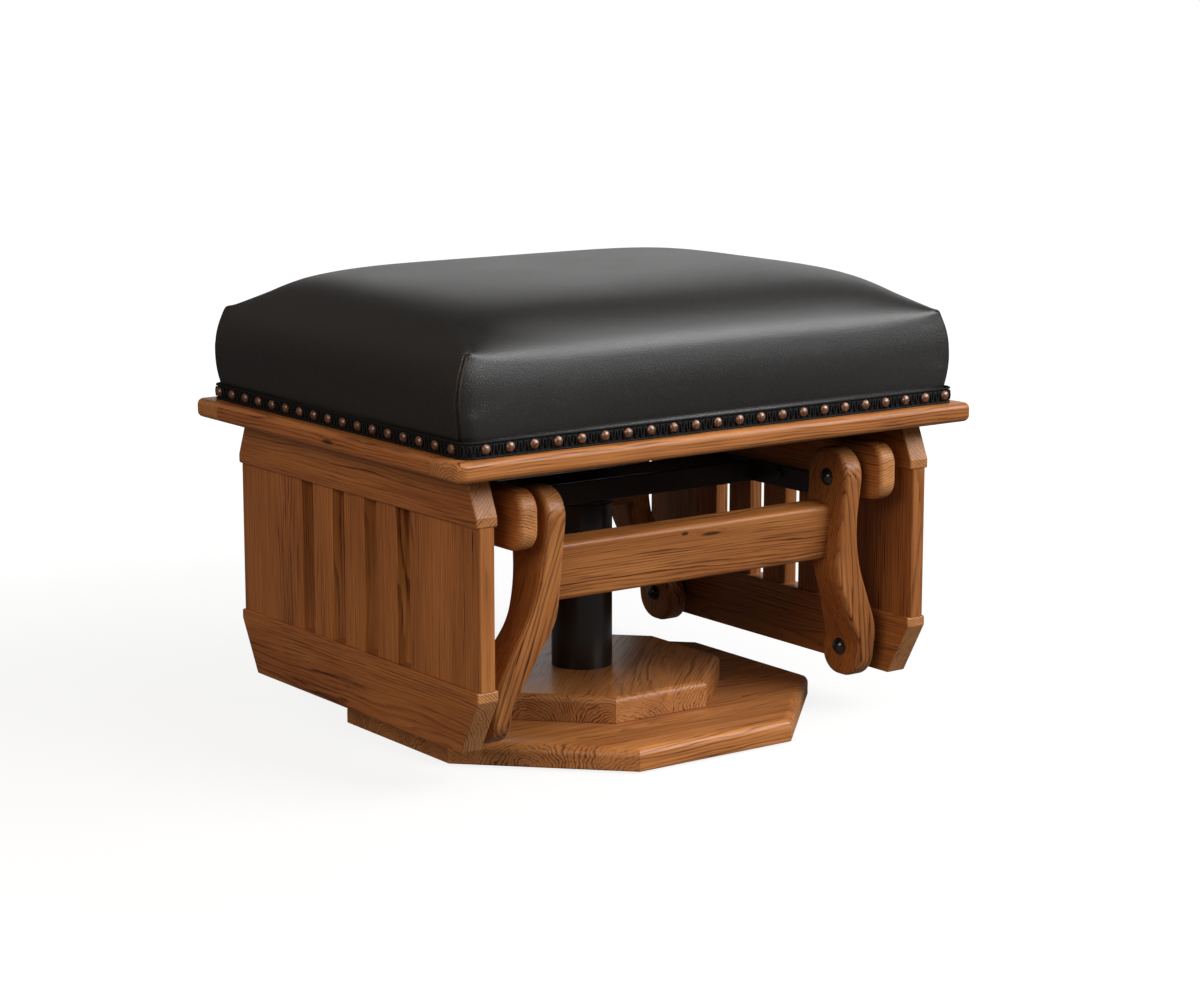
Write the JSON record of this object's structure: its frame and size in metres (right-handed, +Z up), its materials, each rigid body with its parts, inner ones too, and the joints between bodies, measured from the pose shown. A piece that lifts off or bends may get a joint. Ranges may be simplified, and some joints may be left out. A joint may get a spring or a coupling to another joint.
{
  "type": "glider ottoman",
  "caption": "Upholstered wooden footstool whose leather seat glides to and fro on swing arms and turns on a pedestal with an octagonal base.",
  "frame": {"origin": "on the floor, on the axis of the column and in the middle of the seat at rest", "axes": "+Z up; +X to the right along the long side of the seat; the seat glides along Y and the pictured front faces -Y"},
  "size_m": [0.61, 0.4844, 0.459],
  "materials": {
    "oak": "satin",
    "plywood": "matte",
    "leather": "satin",
    "foam": "matte",
    "braid": "matte",
    "nail_copper": "satin",
    "black_steel": "satin",
    "bright_steel": "satin",
    "brass": "satin",
    "black_nylon": "matte",
    "dust_cloth": "matte"
  },
  "bodies": {
    "pedestal": {"base_plate": "oak", "base_plinth": "oak", "base_glides": "black_nylon", "plinth_screws": "bright_steel", "column_tube": "black_steel", "column_foot_disc": "bright_steel", "column_bolt": "bright_steel", "spindle_bushes": "black_nylon", "thrust_washer": "black_nylon"},
    "swivel_frame": {"swivel_spindle": "bright_steel", "spindle_clip": "bright_steel", "bracket_front_bar": "black_steel", "bracket_rear_bar": "black_steel", "bracket_left_bar": "black_steel", "bracket_right_bar": "black_steel", "bracket_hub_plate": "black_steel", "bracket_bolts": "black_steel", "hanger_rail_left": "oak", "hanger_rail_right": "oak", "upper_pivot_bolts": "black_steel", "upper_pivot_spacers": "black_nylon", "upper_pivot_inserts": "brass"},
    "front_swing": {"front_arm_left": "oak", "front_arm_right": "oak", "front_crossbar": "oak", "front_crossbar_dowels": "oak", "front_upper_bushes": "black_nylon", "front_lower_bushes": "black_nylon"},
    "rear_swing": {"rear_arm_left": "oak", "rear_arm_right": "oak", "rear_crossbar": "oak", "rear_crossbar_dowels": "oak", "rear_upper_bushes": "black_nylon", "rear_lower_bushes": "black_nylon"},
    "seat": {"left_panel_bottom_rail": "oak", "left_panel_top_rail": "oak", "left_panel_front_stile": "oak", "left_panel_rear_stile": "oak", "left_panel_slats": "oak", "right_panel_bottom_rail": "oak", "right_panel_top_rail": "oak", "right_panel_front_stile": "oak", "right_panel_rear_stile": "oak", "right_panel_slats": "oak", "lower_pivot_bolts": "black_steel", "lower_pivot_spacers": "black_nylon", "lower_pivot_inserts": "brass", "seat_frame_front_rail": "oak", "seat_frame_rear_rail": "oak", "seat_frame_left_rail": "oak", "seat_frame_right_rail": "oak", "seat_deck": "plywood", "panel_screws": "bright_steel", "deck_screws": "bright_steel", "dust_cover": "dust_cloth", "foam_core": "foam", "leather_cover": "leather", "gimp_trim": "braid", "upholstery_nails": "nail_copper"}
  },
  "joints": [
    {"name": "swivel", "type": "hinge", "parent": "pedestal", "child": "swivel_frame", "pos_m": [0, 0, 0.217], "axis": [0, 0, 1], "continuous": true},
    {"name": "front_arms", "type": "hinge", "parent": "swivel_frame", "child": "front_swing", "pos_m": [0, -0.1826, 0.251], "axis": [1, 0, 0], "range_deg": [-12, 12]},
    {"name": "rear_arms", "type": "hinge", "parent": "swivel_frame", "child": "rear_swing", "pos_m": [0, 0.1826, 0.251], "axis": [1, 0, 0], "range_deg": [-12, 12]},
    {"name": "seat_tilt", "type": "hinge", "parent": "front_swing", "child": "seat", "pos_m": [0, -0.1565, 0.0685], "axis": [1, 0, 0], "range_deg": [-14, 14]}
  ],
  "couplings": [
    {"joint": "rear_arms", "follows": "front_arms", "ratio": 1},
    {"joint": "seat_tilt", "follows": "front_arms", "ratio": -1.165}
  ]
}
